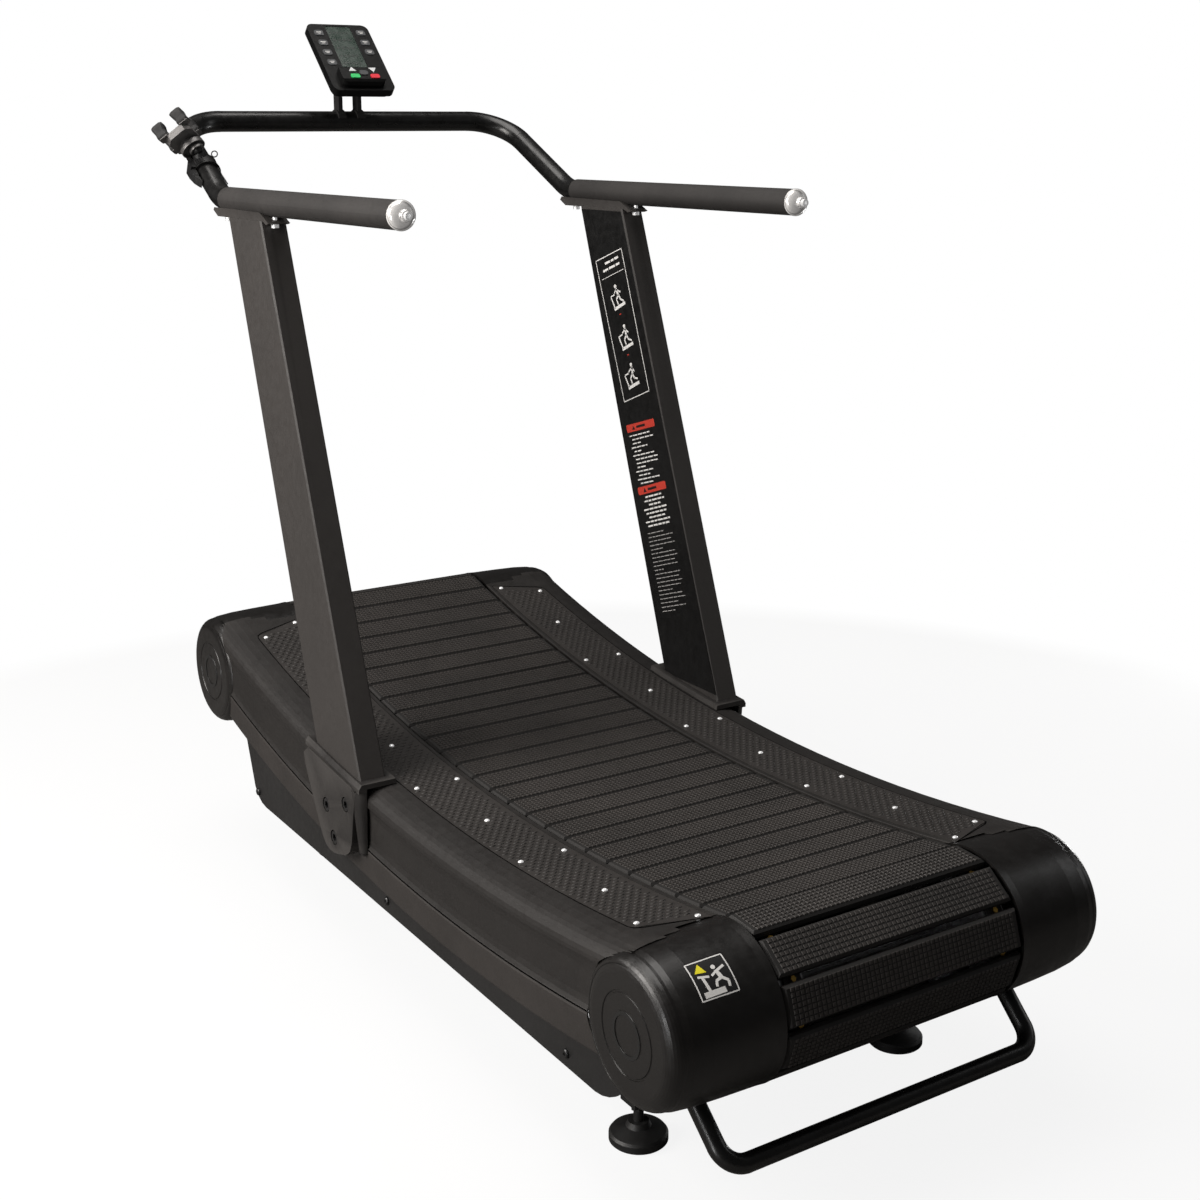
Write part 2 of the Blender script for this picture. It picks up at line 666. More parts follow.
def pad_gap(side, tag):
    """Dark line round the edge of a step pad."""
    points = []
    for (x0, y0), (x1, y1) in zip(PAD_EDGE, PAD_EDGE[1:]):
        steps = max(1, int(math.hypot(x1 - x0, y1 - y0) / PAD_EDGE_STEP))
        points += [(x0 + (x1 - x0) * j / steps, y0 + (y1 - y0) * j / steps)
                   for j in range(steps)]
    points.append(PAD_EDGE[-1])
    sections = []
    for i, (x, y) in enumerate(points):
        before, after = points[max(0, i - 1)], points[min(len(points) - 1, i + 1)]
        along = Vector((after[0] - before[0], after[1] - before[1])).normalized()
        sections.append([
            (side * (x - along.y * offset), *deck_point(deck_angle(y + along.x * offset), depth))
            for offset, depth in PAD_GAP_SECTION])
    shape = Shape()
    shape.sweep(sections)
    shape.make("pad_gap_" + tag, "gap_black", "pad_plastic")


# ---------------------------------------------------------------- end covers
# (radius, height) of the thin plain ring on the outer face
BADGE_PROFILE = ((0.034, -0.0002), (0.0338, 0.0003), (0.0282, 0.0003), (0.028, -0.0002))
BADGE_X = 0.40982
LINER_X = 0.2405
LINER_RING_PROFILE = ((0.046, 0.0), (0.113, 0.0), (0.113, 0.0012), (0.046, 0.0012), (0.046, 0.0))
# (x, radius) round the section of the liner sheet
LINER_SHEET_SECTION = ((LINER_X, 0.1075), (0.384, 0.1045), (0.384, 0.1057), (LINER_X, 0.1087))
# (x, outer radius, inner radius) of the gasket
GASKET_STATIONS = (
    (0.3850, 0.1107, 0.1092), (0.3925, 0.1101, 0.1085), (0.3968, 0.1089, 0.1068),
    (0.4001, 0.1073, 0.1045), (0.4036, 0.1046, 0.1008), (0.4062, 0.1008, 0.0968))
GASKET_WALL = 0.0012            # below the inner radius
GASKET_FADE = 16                # degrees over which each end tapers
# Degrees about the axle, from +Y upwards
LINER_SPAN = {"rear": (-112, 64), "front": (116, 292)}
GASKET_SPAN = {"rear": (-78, 92), "front": (88, 258)}


def around_axle(side, x, radius, degrees, axle_y, axle_z):
    angle = math.radians(degrees)
    return side * x, axle_y + radius * math.cos(angle), axle_z + radius * math.sin(angle)


def cap_badges():
    for side, tag in SIDES:
        for end, y, z in ENDS:
            lathe(f"cap_badge_{end}_{tag[0]}", BADGE_PROFILE, (side * BADGE_X, y, z),
                  (side, 0, 0), "ink_tone", "cap_plastic", segments=64)


def cap_liners():
    """Dark liners in the end covers: a ring beside the belt and a curved sheet at the axle."""
    steps = 40
    for side, tag in SIDES:
        for end, y, z in ENDS:
            lathe(f"cap_liner_ring_{end}_{tag}", LINER_RING_PROFILE, (side * LINER_X, y, z),
                  (side, 0, 0), "black_hardware", "cap_plastic")
            first, last = LINER_SPAN[end]
            shape = Shape()
            shape.sweep([[around_axle(side, x, radius, first + (last - first) * i / steps, y, z)
                          for x, radius in LINER_SHEET_SECTION] for i in range(steps + 1)],
                        caps=((0, 3, 2, 1), (0, 1, 2, 3)), flip=side < 0)
            shape.make(f"cap_liner_sheet_{end}_{tag}", "black_hardware", "cap_plastic")


def gasket_section(side, degrees, fade, y, z):
    outer = [(x, inner + (rim - inner) * fade) for x, rim, inner in GASKET_STATIONS]
    inside = [(x, inner - GASKET_WALL) for x, _, inner in reversed(GASKET_STATIONS)]
    return [around_axle(side, x, radius, degrees, y, z) for x, radius in outer + inside]


def cap_gaskets():
    """Soft gaskets between the end covers and the side covers."""
    steps = 90
    corners = 2 * len(GASKET_STATIONS)
    for side, tag in SIDES:
        for end, y, z in ENDS:
            first, last = GASKET_SPAN[end]
            sections = []
            for i in range(steps + 1):
                degrees = first + (last - first) * i / steps
                fade = min(1.0, (degrees - first) / GASKET_FADE, (last - degrees) / GASKET_FADE)
                sections.append(gasket_section(side, degrees, max(0.0, fade), y, z))
            shape = Shape()
            shape.sweep(sections, caps=(range(corners - 1, -1, -1), range(corners)),
                        flip=side < 0)
            shape.make(f"cap_gasket_{end}_{tag}", "cap_plastic", smooth=True)


# ---------------------------------------------------------------- dust sheet and flank seams
SHEET_HALF_WIDTH = 0.262
SHEET_HALF_THICKNESS = 0.0006
SHEET_END_GAP = 0.135           # from each axle
BELOW_DECK = 0.030              # the sheet lies midway between this depth under the deck
ABOVE_BOTTOM_RUN = 0.016        # and this height over the bottom run's pitch line


def belly_dust_sheet():
    """Dark sheet between the belt runs, so that the floor doesn't show through the slat gaps."""
    steps = 24
    sections = []
    for i in range(steps + 1):
        y = REAR_Y + SHEET_END_GAP + (FRONT_Y - REAR_Y - 2 * SHEET_END_GAP) * i / steps
        top = DECK_CENTRE_Z - math.sqrt(DECK_RADIUS ** 2 - (y - DECK_Y) ** 2) - BELOW_DECK
        run_start_y = REAR_Y + WHEEL_PITCH_RADIUS * math.sin(SLOPE)
        run_start_z = REAR_Z - WHEEL_PITCH_RADIUS * math.cos(SLOPE)
        bottom = run_start_z + (y - run_start_y) * math.tan(SLOPE) + ABOVE_BOTTOM_RUN
        z = (top + bottom) / 2
        sections.append([(i * SHEET_HALF_WIDTH, y, z + j * SHEET_HALF_THICKNESS)
                         for i, j in ((-1, -1), (1, -1), (1, 1), (-1, 1))])
    shape = Shape()
    shape.sweep(sections, caps=((0, 1, 2, 3), (0, 3, 2, 1)), flip=True)
    shape.make("belly_dust_sheet", "black_hardware", "cap_plastic")


# (x, depth below the deck arc) round the section of the seam bead
SEAM_SECTION = ((0.4040, 0.1150), (0.4064, 0.1150), (0.4068, 0.1166), (0.4040, 0.1184))
SEAM_DEPTH = 0.1165
SEAM_END_GAP = 0.1075           # from each axle, along the arc


def flank_seam(side, tag):
    """Black bead between the flank and the lower trim."""
    steps = 90
    inset = SEAM_END_GAP / (DECK_RADIUS + SEAM_DEPTH)
    first, last = -REAR_ANGLE + inset, FRONT_ANGLE - inset
    shape = Shape()
    shape.sweep([[(side * x, *deck_point(first + (last - first) * i / steps, depth))
                  for x, depth in SEAM_SECTION] for i in range(steps + 1)],
                caps=((0, 1, 2, 3), (3, 2, 1, 0)))
    shape.make("flank_seam_" + tag, "gap_black", "textured_paint")


def seams_and_gaps():
    for side, tag in SIDES:
        flank_seam(side, tag)
        pad_gap(side, tag)


# ---------------------------------------------------------------- domes over the grip ends
GRIP_X, GRIP_Y, GRIP_Z = 0.391, -0.130, 1.380
DOME_RADIUS = 0.0244
DOME_START, DOME_RISE = 0.0045, 0.0129     # height where the curve starts, and its rise
DOME_SEMI_AXIS = 0.0141                    # of the curve's ellipse, along the grip
# (radius, height) below and above the curve
DOME_RIM = [(0.0238, 0.0008), (0.0242, 0.0012), (0.0243, 0.0022)]
DOME_BUTTON = [(0.0099, 0.0177), (0.0096, 0.0182), (0.0096, 0.0232), (0.0090, 0.0243),
               (0.0082, 0.0248), (0.0068, 0.0249)]


def grip_domes():
    rises = [DOME_RISE * i / 14 for i in range(15)]
    curve = [(DOME_RADIUS * math.sqrt(1 - (rise / DOME_SEMI_AXIS) ** 2), DOME_START + rise)
             for rise in rises]
    for side, tag in SIDES:
        lathe("grip_dome_" + tag, DOME_RIM + curve + DOME_BUTTON, (side * GRIP_X, GRIP_Y, GRIP_Z),
              (0, -1, 0), "bar_chrome", smooth_degrees=50)


# ---------------------------------------------------------------- print on the right upright
# Points are (y, z) in mm on the upright's inner face; heights are metres towards the middle.
PANEL_X = 0.364 - 0.00025
PRINT_HEIGHT = 0.00025
MARK_HEIGHT = 0.0004            # top of the marks printed over the red bars
FILM_OUTLINE = ((47, 408), (391, 1344), (541, 1344), (221, 408))
BOX_OUTLINE = ((485, 1237), (389, 1270), (286, 989), (376, 954))
UPRIGHT_UP = Vector((0.342, 0.9397))
UPRIGHT_DOWN = -UPRIGHT_UP
UPRIGHT_ACROSS = Vector((0.945, -0.327))
# z of each heading row and its dashes, as fractions of the row from the front
HEADINGS = ((1231, ((0.22, 0.44), (0.48, 0.60), (0.64, 0.80))),
            (1217, ((0.14, 0.36), (0.40, 0.66), (0.70, 0.86))))
# (y, z, lean) of the figures
FIGURES = ((400, 1169, 1), (370, 1089, 0), (347, 1011, -1))
# Start, end and width of the strokes of the machine under each figure
MACHINE_STROKES = (((-26, -22), (26, -28), 6.5), ((22, -26), (32, 10), 3.4),
                   ((32, 10), (14, 12), 3.0))
RED_DASHES = ((392, 1135), (363, 1054))
# Front and rear end of the upper edge of each red bar
RED_BARS = (((366, 904), (272, 932)), ((323, 779), (230, 810)))
# Rows of dashes that stand for print: start and end as fractions of the bar from the front
TEXT_ROWS = (
    (.02, .80), (.10, .92), (.10, .40), (.02, .62), (.10, .36), (.02, .86), (.10, .95),
    (.10, .90), (.10, .44), (.02, .70), (.10, .52), (.02, .85), (.10, .58))
CENTRED_ROWS = (
    (.20, .80), (.14, .88), (.28, .72), (.06, .94), (.12, .88), (.20, .80), (.04, .96),
    (.10, .90))
FINE_ROWS = tuple((.02, end) for end in (
    .62, .94, .90, .96, .48, .90, .96, .84, .92, .36, .94, .90, .96, .88, .55, .90, .96, .70,
    .92, .50))


def on_panel(y, z, height):
    return PANEL_X - height, y / 1e3, z / 1e3


def panel_stroke(shape, start, end, width):
    shape.stroke(start, end, width, on_panel, 0, PRINT_HEIGHT)


def panel_spot(origin_y, origin_z, across, up):
    """(y, z) of a point given in the slanted frame of the upright."""
    spot = Vector((origin_y, origin_z)) + UPRIGHT_ACROSS * across + UPRIGHT_UP * up
    return tuple(spot)


def panel_figure(shape, centre_y, centre_z, lean):
    """A person on a machine."""
    def spot(point):
        return panel_spot(centre_y, centre_z, point[0] * 0.82, point[1] * 0.74)

    def strokes(items):
        for start, end, width in items:
            panel_stroke(shape, spot(start), spot(end), width)

    head_x = lean * 4
    strokes(MACHINE_STROKES)
    head = [spot(point) for point in polygon(head_x, 33, 5.2, 12)]
    shape.prism(head, 0, PRINT_HEIGHT, on_panel)
    strokes((
        ((head_x - 1, 27), (-3, 6), 6.0),                                   # trunk
        ((head_x, 24), (13, 15), 3.2), ((head_x, 24), (-14, 12), 3.2),      # arms
        ((-3, 7), (9, -4), 4.0), ((9, -4), (5, -19), 3.6),                  # legs
        ((-3, 7), (-9, -7), 4.0), ((-9, -7), (-22, -13 - 3 * lean), 3.6)))


def bar_frame(bar):
    """Front end of a red bar's middle line, its direction to the rear, and its length."""
    front, rear = Vector(bar[0]), Vector(bar[1])
    return front + UPRIGHT_DOWN * 6, (rear - front).normalized(), (rear - front).length


def text_rows(shape, bar, first, pitch, width, items):
    """Broken rows below a red bar: first is the drop to the first row, pitch the row step."""
    front, rear = Vector(bar[0]), Vector(bar[1])
    for i, (row_start, row_end) in enumerate(items):
        drop = UPRIGHT_DOWN * (first + i * pitch)
        start = row_start
        j = 0
        while start < row_end - 0.03:
            end = min(row_end, start + 0.10 + 0.08 * ((i * 5 + j * 3) % 4) / 3)
            panel_stroke(shape, rear + (front - rear) * (1 - start) + drop,
                         rear + (front - rear) * (1 - end) + drop, width)
            start = end + 0.028
            j += 1


def panel_film():
    """Dark film that covers the inner face."""
    shape = Shape()
    shape.prism(FILM_OUTLINE, -0.0002, 0.0, on_panel)
    shape.make("panel_film", "film", "textured_paint")


def panel_white():
    shape = Shape()
    for i in range(4):
        panel_stroke(shape, BOX_OUTLINE[i], BOX_OUTLINE[(i + 1) % 4], 1.8)
    panel_stroke(shape, (461, 1200), (380, 1229), 1.2)
    for row_z, dashes in HEADINGS:
        for dash in dashes:
            start, end = [(468 - 84 * part, row_z - 3 + 30 * part) for part in dash]
            panel_stroke(shape, start, end, 4.6)
    for figure in FIGURES:
        panel_figure(shape, *figure)
    shape.make("panel_print_white", "ink_white", "textured_paint")


def panel_red():
    shape = Shape()
    for y, z in RED_DASHES:
        panel_stroke(shape, panel_spot(y, z, -3, 0), panel_spot(y, z, 3, 0), 2.2)
    for bar in RED_BARS:
        origin, along, length = bar_frame(bar)
        corners = ((-3, -5.5), (-1, -8), (length + 1, -8), (length + 3, -5.5),
                   (length + 3, 5.5), (length + 1, 8), (-1, 8), (-3, 5.5))
        outline = [tuple(origin + along * a + UPRIGHT_DOWN * b) for a, b in corners]
        shape.prism(outline, 0, PRINT_HEIGHT, on_panel)
    shape.make("panel_print_red", "ink_red", "textured_paint")


def panel_marks():
    """A small triangle and a dash on each red bar."""
    shape = Shape()
    for bar in RED_BARS:
        origin, along, _ = bar_frame(bar)
        triangle = [tuple(origin + along * a + UPRIGHT_DOWN * b)
                    for a, b in ((17, 4.5), (22.5, -4.5), (28, 4.5))]
        shape.prism(triangle, PRINT_HEIGHT, MARK_HEIGHT, on_panel)
        shape.stroke(origin + along * 34, origin + along * 66, 5.0, on_panel,
                     PRINT_HEIGHT, MARK_HEIGHT)
    shape.make("panel_print_marks", "ink_black", "textured_paint")


def panel_text():
    shape = Shape()
    text_rows(shape, RED_BARS[0], first=22, pitch=8.4, width=2.6, items=TEXT_ROWS)
    text_rows(shape, RED_BARS[1], first=21, pitch=8.6, width=3.4, items=CENTRED_ROWS)
    shape.make("panel_print_lines", "ink_white", "textured_paint")
    shape = Shape()
    text_rows(shape, RED_BARS[1], first=96, pitch=8.6, width=1.7, items=FINE_ROWS)
    shape.make("panel_print_fine", "ink_grey", "textured_paint")


# ---------------------------------------------------------------- label on the left rear cover
# Label points are (u, v): u from 0 to 1 towards the middle, v from 0 to 1 downwards.
LABEL_WIDTH, LABEL_HEIGHT = 62.0, 58.0      # mm
LABEL_OUTER_X = 348.6                       # mm
LABEL_TOP_DEGREES, LABEL_DEGREES = 113.4, 28.1
LABEL_LIFT = 0.0002                         # above the cover
# Radius of the cover at stations across it
COVER_X = (0.240, 0.300, 0.346, 0.376)
COVER_RADIUS = (0.1184, 0.1172, 0.1156, 0.1126)
LABEL_MATERIALS = ["ink_white", "ink_black", "ink_yellow"]
WHITE, BLACK, YELLOW = range(3)
LABEL_BORDER = ((0.02, 0.02), (0.98, 0.02), (0.98, 0.98), (0.02, 0.98))
# Start, end and width (mm) of the white strokes
LABEL_STROKES = (
    ((0.15, 0.41), (0.42, 0.47), 3.4), ((0.25, 0.45), (0.30, 0.84), 4.2),
    ((0.13, 0.87), (0.68, 0.86), 8.0), ((0.64, 0.36), (0.69, 0.57), 6.0),
    ((0.65, 0.39), (0.88, 0.31), 3.6), ((0.65, 0.39), (0.49, 0.47), 3.4),
    ((0.69, 0.57), (0.54, 0.62), 4.2), ((0.54, 0.62), (0.50, 0.75), 3.6),
    ((0.69, 0.57), (0.83, 0.69), 4.2), ((0.83, 0.69), (0.80, 0.83), 3.6))


def on_cover(x, degrees, height):
    """x is the distance from the middle in mm, degrees the angle about the rear axle."""
    x = x / 1e3
    radius = np.interp(x, COVER_X, COVER_RADIUS) + LABEL_LIFT + height
    return around_axle(-1, x, radius, degrees, REAR_Y, REAR_Z)


def label_patch(shape, corners, height, index=WHITE):
    outline = [(LABEL_OUTER_X - LABEL_WIDTH * u, LABEL_TOP_DEGREES + LABEL_DEGREES * v)
               for u, v in corners]
    shape.prism(outline, 0.0, height, on_cover, index)


def label_stroke(shape, start, end, width, height):
    """A white stroke, in short pieces that follow the round of the cover."""
    steps = 6
    start, end = Vector(start), Vector(end)
    along = end - start
    half = Vector((-along.y * LABEL_HEIGHT, along.x * LABEL_WIDTH)).normalized() * width / 2
    half = Vector((half.x / LABEL_WIDTH, half.y / LABEL_HEIGHT))
    for i in range(steps):
        near = start + along * i / steps
        far = start + along * (i + 1) / steps
        label_patch(shape, (near + half, far + half, far - half, near - half), height)


def caution_label():
    shape = Shape()
    for i in range(10):
        v0, v1 = i / 10, (i + 1) / 10
        label_patch(shape, ((0, v0), (1, v0), (1, v1), (0, v1)), 0.00018, BLACK)
    for i in range(4):
        label_stroke(shape, LABEL_BORDER[i], LABEL_BORDER[(i + 1) % 4], 1.8, 0.00035)
    # triangle, in strips that follow the round of the cover
    for i in range(8):
        v0, v1 = i / 8, (i + 1) / 8
        label_patch(shape, ((0.30 - 0.17 * v0, 0.09 + 0.22 * v0),
                            (0.30 + 0.11 * v0, 0.09 + 0.26 * v0),
                            (0.30 + 0.11 * v1, 0.09 + 0.26 * v1),
                            (0.30 - 0.17 * v1, 0.09 + 0.22 * v1)), 0.0004, YELLOW)
    for start, end, width in LABEL_STROKES:
        label_stroke(shape, start, end, width, 0.0004)
    turns = [k * math.pi / 5 for k in range(10)]
    head = [(0.62 + 0.055 * math.cos(t), 0.275 + 0.058 * math.sin(t)) for t in turns]
    label_patch(shape, head, 0.0004)
    shape.make("caution_label", LABEL_MATERIALS, "cap_plastic")


# ---------------------------------------------------------------- console
CONSOLE_TILT = math.radians(44.6)
# mm across, up the slope and out of the console's face
on_console = mm_frame(Vector((0, 0.811, 1.592)), Vector((1, 0, 0)),
                      Vector((0, math.cos(CONSOLE_TILT), math.sin(CONSOLE_TILT))),
                      Vector((0, -math.sin(CONSOLE_TILT), math.cos(CONSOLE_TILT))))
# All in mm
DISPLAY_WIDTH = 44
SEGMENT_GAP = 3.5
SEGMENT_HALF_HEIGHT = 3.2
DISPLAY_ROWS = ((170, 6), (148, 4), (124, 4), (100, 5), (78, 6))     # (place, segments)
KEY_TOP, KEY_MARK_TOP = 1.6, 1.85
KEYS = (
    ("key_l1", -49, 167), ("key_l2", -49, 137), ("key_l3", -49, 108), ("key_l4", -49, 78),
    ("key_r1", 49, 170), ("key_r2", 49, 140), ("key_r3", 49, 111))
KEY_DASHES = ((5.5, 1.6, 1.6), (3.5, -2.2, 1.4))        # (half length, offset, width)


def display_segments():
    """Plain blocks under the window."""
    shape = Shape()
    for y, count in DISPLAY_ROWS:
        low, high = y - SEGMENT_HALF_HEIGHT, y + SEGMENT_HALF_HEIGHT
        for i in range(count):
            left = -DISPLAY_WIDTH / 2 + i * DISPLAY_WIDTH / count
            right = left + DISPLAY_WIDTH / count - SEGMENT_GAP
            shape.prism([(left, low), (right, low), (right, high), (left, high)],
                        -0.98, -0.80, on_console)
    shape.make("display_segments", "display_ink", "console_glass")


def key_marks():
    """Two dashes on each grey key, riding on the key."""
    for key, x, y in KEYS:
        shape = Shape()
        for half, offset, width in KEY_DASHES:
            shape.stroke((x - half, y + offset), (x + half, y + offset), width, on_console,
                         KEY_TOP, KEY_MARK_TOP)
        shape.make(key + "_mark", "ink_white", "key_grey", body=key)


# ---------------------------------------------------------------- nuts between the slat ends
NUT_X = 0.193
NUT_RADIUS = 0.0045
NUT_LOW, NUT_HIGH = 0.002, 0.0055       # above the pitch line


def carrier_nuts():
    for wanted in ("rear", "front"):
        shape = Shape()
        for slat in SLATS:
            run, place = belt_frame(SLAT_PHASE + (slat + 0.5) * SLAT_PITCH)
            if run == wanted:
                for x in (-NUT_X, NUT_X):
                    shape.prism(polygon(x, 0, NUT_RADIUS, 6), NUT_LOW, NUT_HIGH, place)
        shape.make("carrier_nuts_" + wanted, "brass", "bearing_steel", "belt_" + wanted)


# ---------------------------------------------------------------- phone holder
PHONE_OUT = Vector((-0.31159076, 0.63888105, 0.70337913)).normalized()
PHONE_A = Vector((0.63065644, 0.69273711, -0.34983962))
PHONE_A = (PHONE_A - PHONE_OUT * PHONE_A.dot(PHONE_OUT)).normalized()
# mm along two axes in the holder's plane, then out of it
on_phone = mm_frame(Vector((-0.3990003, 0.7375382, 1.4710870)), PHONE_A,
                    PHONE_OUT.cross(PHONE_A), PHONE_OUT)
# All in mm. Name, body, place along the first axis, side on that axis
CLAW_PAIRS = (("cradle", "phone_cradle", 15, 1), ("jaw", "phone_jaw", -45, -1))
CLAW_PLACES = ((-17, -1), (31, 1))      # place and side on the second axis
# (inward shift, half size, chamfer, height) up a claw
CLAW_RINGS = ((0, 11.0, 2.5, 37.0), (0, 11.8, 3, 40.0), (0, 10.6, 3, 49.0),
              (1.0, 12.6, 3.4, 60.0), (1.5, 12.4, 3.6, 65.5), (1.5, 10.6, 3.6, 67.4))
COLLAR_CENTRE = 4
COLLAR_RADII = (23.8, 24.4)             # valley and rib
COLLAR_RINGS = ((0.93, 5.6), (1, 7.2), (1, 14.2), (0.95, 15.4))     # (scale, height)


def chamfered_square(x, y, half, chamfer):
    short = half - chamfer
    return [(x - half, y - short), (x - short, y - half), (x + short, y - half),
            (x + half, y - short), (x + half, y + short), (x + short, y + half),
            (x - short, y + half), (x - half, y + short)]


def phone_claws():
    for name, body, a, a_side in CLAW_PAIRS:
        shape = Shape()
        for b, b_side in CLAW_PLACES:
            shape.loft([(chamfered_square(a - a_side * shift, b - b_side * shift, half, chamfer),
                         height) for shift, half, chamfer, height in CLAW_RINGS], on_phone)
        shape.make("phone_claws_" + name, "claw_rubber", "clamp_plastic", body)


def phone_collar():
    """Ribbed black collar round the ball socket."""
    outline = []
    for k in range(96):
        angle = 2 * math.pi * k / 96
        radius = COLLAR_RADII[(k // 2) % 2]
        outline.append((radius * math.cos(angle), radius * math.sin(angle)))
    shape = Shape()
    shape.loft([([(a * scale, b * scale + COLLAR_CENTRE) for a, b in outline], height)
                for scale, height in COLLAR_RINGS], on_phone)
    shape.make("phone_collar", "clamp_plastic", body="phone_cradle")


def phone_disc_rim():
    """Raised disc on the silver plate."""
    outline = polygon(0, 5, 20.4, 64)
    shape = Shape()
    shape.loft([(outline, 19.8), (outline, 21.6)], on_phone)
    shape.make("phone_disc_rim", "cradle_plastic", body="phone_cradle")


# ---------------------------------------------------------------- clamp on the left tube
# The tube rises towards the front.
TUBE_ALONG = Vector((11, 271, 146)).normalized()
TUBE_OUTER = Vector((0, 0, 1)).cross(TUBE_ALONG).normalized()       # points to -X
CLAMP_CENTRE = Vector((-0.391, 0.632, 1.380)) + TUBE_ALONG * 0.112
# mm outwards (to the left), up and along the tube
on_tube = mm_frame(CLAMP_CENTRE, TUBE_OUTER, TUBE_ALONG.cross(TUBE_OUTER), TUBE_ALONG)
# (inner radius, outer radius, start, end) of the edge bands, mm
CLAMP_BANDS = ((25.6, 26.9, -14.6, -12.8), (25.6, 26.7, 12.8, 14.4))
# (outwards, along) of the lever's side view, mm
LEVER_OUTLINE = ((26.5, -12), (34, -10), (36, -24), (33, -40), (27, -52), (23.5, -56),
                 (24.5, -46), (25.5, -34), (26, -22))
LEVER_HALF_WIDTH = 8
# (radius, half width) of the foot and the top of a tooth, mm
TOOTH_LEVELS = ((26.2, 1.1), (27.8, 0.7))
TOOTH_HALF_LENGTH = 10
TOOTH_FACES = ((0, 1, 5, 4), (2, 6, 7, 3), (4, 5, 7, 6), (0, 4, 6, 2), (1, 3, 7, 5))
RING_CENTRE = Vector((-0.3705, 0.7210, 1.4632))
RING_A = Vector((0.843, -0.537, 0)).normalized()
RING_B = Vector((0.1188, 0.1809, 0.9763))
RING_RADIUS, RING_WIRE = 0.0058, 0.0012
CABLE_OFFSET = 22.6                     # from the tube's axis, mm
CABLE_RADIUS = 0.0013


def clamp_edges():
    segments = 64
    shape = Shape()
    for inner, outer, start, end in CLAMP_BANDS:
        sections = []
        for k in range(segments):
            angle = 2 * math.pi * k / segments
            sections.append([
                on_tube(radius * math.cos(angle), radius * math.sin(angle), along)
                for radius, along in ((inner, start), (outer, start), (outer, end), (inner, end))])
        shape.sweep(sections, closed=True)
    shape.make("clamp_edges", "bar_paint", "clamp_plastic")


def clamp_lever():
    """Lever tail that points down the tube on its outer side."""
    n = len(LEVER_OUTLINE)
    verts = [on_tube(out, up, along) for up in (-LEVER_HALF_WIDTH, LEVER_HALF_WIDTH)
             for out, along in LEVER_OUTLINE]
    faces = [range(n), range(2 * n - 1, n - 1, -1)]
    faces += [(i, n + i, n + (i + 1) % n, (i + 1) % n) for i in range(n)]
    shape = Shape()
    shape.add(verts, faces)
    shape.make("clamp_lever", "clamp_plastic")


def clamp_teeth():
    """Strap teeth on the upper outer side of the clamp."""
    shape = Shape()
    for k in range(7):
        angle = math.radians(20 + k * 9)
        cos, sin = math.cos(angle), math.sin(angle)
        shape.add([on_tube(radius * cos + shift * sin, radius * sin - shift * cos, along)
                   for radius, half in TOOTH_LEVELS
                   for shift in (-half, half)
                   for along in (-TOOTH_HALF_LENGTH, TOOTH_HALF_LENGTH)], TOOTH_FACES)
    shape.make("clamp_teeth", "clamp_plastic")


def clamp_wire_ring():
    turns = [2 * math.pi * k / 24 for k in range(25)]
    path = [RING_CENTRE + (RING_A * math.cos(t) + RING_B * math.sin(t)) * RING_RADIUS
            for t in turns]
    tube("clamp_wire_ring", path, RING_WIRE, "bar_paint", "black_hardware")


def clamp_cable():
    """Thin cable lying along the tube below the clamp."""
    path = []
    for k in range(15):
        angle = math.radians(140 + 6 * math.sin(k * 0.6))
        path.append(on_tube(CABLE_OFFSET * math.cos(angle), CABLE_OFFSET * math.sin(angle),
                            -14 - k * 4.6))
    tube("clamp_cable", path, CABLE_RADIUS, "clamp_plastic", "clamp_plastic")


# ---------------------------------------------------------------- stage, light, camera
FLOOR_HALF_SIZE = 40.0


def floor_material():
    """White for the camera with a faint contact shadow; dark to other rays, for little bounce."""
    material, tree, pale = new_material("floor_pale")
    cloud = noise(tree, 3.0, detail=4.0)
    tree.links.new(mix_colour(tree, cloud, (0.80, 0.80, 0.80), (0.84, 0.84, 0.84)),
                   pale.inputs["Base Color"])
    set_inputs(pale, {"Roughness": 0.9, "Specular IOR Level": 0.05})
    glow = tree.nodes.new("ShaderNodeEmission")
    set_inputs(glow, {"Color": (1, 1, 1, 1), "Strength": 1.0})
    dark = tree.nodes.new("ShaderNodeBsdfDiffuse")
    dark.inputs["Color"].default_value = (0.16, 0.155, 0.15, 1)
    light_path = tree.nodes.new("ShaderNodeLightPath")
    distance = tree.nodes.new("ShaderNodeVectorMath")
    distance.operation = "LENGTH"
    tree.links.new(object_coords(tree), distance.inputs[0])
    # share of glow: 0.88 near the origin, all of it from 2.4 m out
    far = remap(tree, distance.outputs["Value"], 0.0, 1.0, start=0.9, end=2.4)
    share = tree.nodes.new("ShaderNodeMath")
    share.operation = "MAXIMUM"
    share.inputs[1].default_value = 0.88
    tree.links.new(far, share.inputs[0])
    seen = mix_shader(tree, share.outputs[0], pale, glow)
    final = mix_shader(tree, light_path.outputs["Is Camera Ray"], dark, seen)
    tree.links.new(final.outputs[0], tree.nodes["Material Output"].inputs["Surface"])
    return material


def mix_shader(tree, factor, first, second):
    node = tree.nodes.new("ShaderNodeMixShader")
    for index, output in enumerate((factor, first.outputs[0], second.outputs[0])):
        tree.links.new(output, node.inputs[index])
    return node


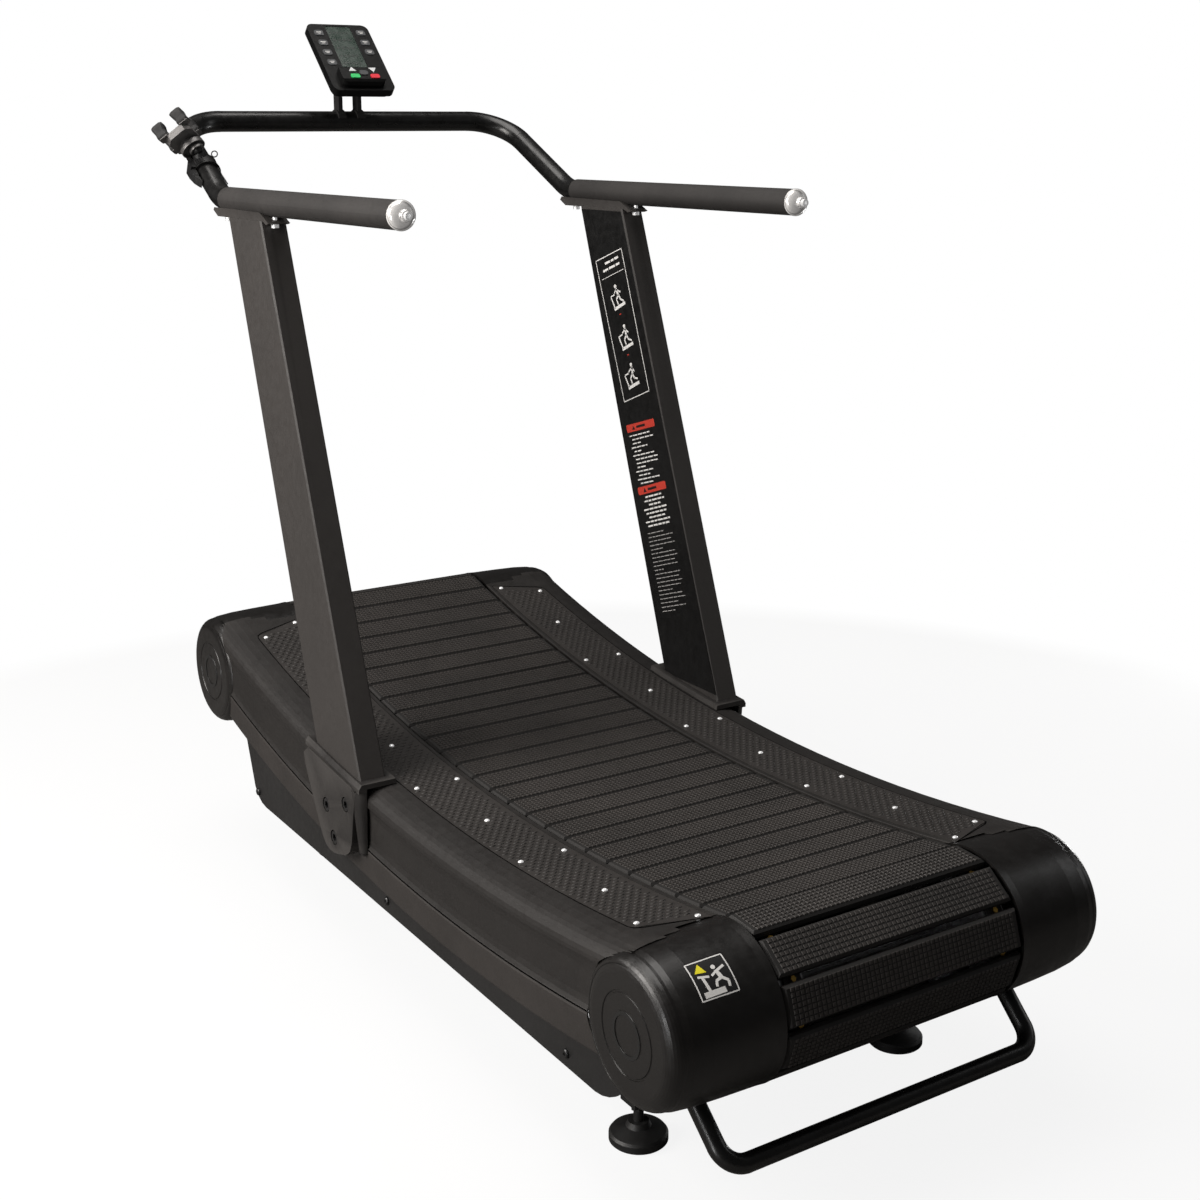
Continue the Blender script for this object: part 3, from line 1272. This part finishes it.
def make_floor():
    mesh = bpy.data.meshes.new("floor")
    corners = [(i * FLOOR_HALF_SIZE, j * FLOOR_HALF_SIZE, 0)
               for i, j in ((-1, -1), (1, -1), (1, 1), (-1, 1))]
    mesh.from_pydata(corners, [], [(0, 1, 2, 3)])
    floor = bpy.data.objects.new("floor", mesh)
    bpy.context.scene.collection.objects.link(floor)
    mesh.materials.append(floor_material())
    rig.stage(floor)


def make_world():
    """White where the camera sees it, a dim warm fill for everything else."""
    world = bpy.data.worlds.new("studio")
    bpy.context.scene.world = world
    world.use_nodes = True
    tree = world.node_tree
    white = tree.nodes["Background"]
    set_inputs(white, {"Color": (1, 1, 1, 1), "Strength": 1.0})
    dim = tree.nodes.new("ShaderNodeBackground")
    set_inputs(dim, {"Color": (1.0, 0.98, 0.96, 1), "Strength": 0.05})
    light_path = tree.nodes.new("ShaderNodeLightPath")
    final = mix_shader(tree, light_path.outputs["Is Camera Ray"], dim, white)
    tree.links.new(final.outputs[0], tree.nodes["World Output"].inputs["Surface"])


def area_light(name, location, target, size, power, colour=(1, 1, 1)):
    """A rectangular light aimed at a target; size is (width, height)."""
    light = bpy.data.lights.new(name, "AREA")
    light.shape = "RECTANGLE"
    light.size, light.size_y = size
    light.energy = power
    light.color = colour
    obj = bpy.data.objects.new(name, light)
    bpy.context.scene.collection.objects.link(obj)
    obj.location = location
    aim = Vector(target) - Vector(location)
    obj.rotation_euler = aim.to_track_quat("-Z", "Y").to_euler()


def make_lights():
    area_light("key_left", location=(-2.9, 0.5, 2.1), target=(-0.2, 0, 0.6),
               size=(2.0, 1.7), power=128, colour=(1.0, 0.96, 0.92))
    area_light("top_soft", location=(-0.6, 0.4, 4.6), target=(0, 0, 0.5),
               size=(3.2, 3.2), power=125, colour=(1.0, 0.97, 0.94))
    area_light("rim_right", location=(3.6, -1.6, 2.0), target=(0, -0.4, 0.6),
               size=(1.0, 2.4), power=9)
    area_light("strip_left", location=(-3.2, -1.5, 0.55), target=(-0.3, -0.8, 0.3),
               size=(0.35, 1.3), power=20)
    area_light("strip_right", location=(2.8, 0.3, 0.25), target=(0.4, -0.8, 0.3),
               size=(0.3, 0.8), power=10)


CAMERA_PLACE = (-1.57155, -2.52985, 1.51213)
# Radians: heading from +Y towards +X, pitch below the horizon, roll
CAMERA_HEADING, CAMERA_PITCH, CAMERA_ROLL = 0.566778, 0.218141, -0.0031195


def make_camera():
    camera = bpy.data.cameras.new("camera")
    obj = bpy.data.objects.new("camera", camera)
    bpy.context.scene.collection.objects.link(obj)
    sin, cos = math.sin(CAMERA_HEADING), math.cos(CAMERA_HEADING)
    level = math.cos(CAMERA_PITCH)
    view = Vector((sin * level, cos * level, -math.sin(CAMERA_PITCH)))
    flat_right = Vector((cos, -sin, 0))
    flat_up = flat_right.cross(view)
    cos_roll, sin_roll = math.cos(CAMERA_ROLL), math.sin(CAMERA_ROLL)
    right = flat_right * cos_roll + flat_up * sin_roll
    up = -flat_right * sin_roll + flat_up * cos_roll
    rows = [(right[i], up[i], -view[i], CAMERA_PLACE[i]) for i in range(3)]
    obj.matrix_world = Matrix((*rows, (0, 0, 0, 1)))
    camera.sensor_width = 36.0
    camera.lens = 50.9013
    camera.shift_x = 0.008366667
    camera.shift_y = -0.080583333
    camera.clip_end = 100.0
    bpy.context.scene.camera = obj
    bpy.context.scene.view_settings.view_transform = "Standard"


# ---------------------------------------------------------------- build, in order
dress_cad_pieces()
slat_studs()
pad_bumps()
cap_badges()
cap_liners()
belly_dust_sheet()
cap_gaskets()
seams_and_gaps()
grip_domes()
panel_film()
panel_white()
panel_red()
panel_marks()
panel_text()
caution_label()
display_segments()
key_marks()
carrier_nuts()
phone_claws()
phone_collar()
phone_disc_rim()
clamp_edges()
clamp_lever()
clamp_teeth()
clamp_wire_ring()
clamp_cable()
make_floor()
make_world()
make_lights()
make_camera()

VIS_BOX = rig.bounds()
try:
    with open("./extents.json", "w") as fh:
        json.dump({"cad": [list(map(float, c)) for c in CAD_BOX], "visual": [list(map(float, c)) for c in VIS_BOX]}, fh)
except OSError:
    pass
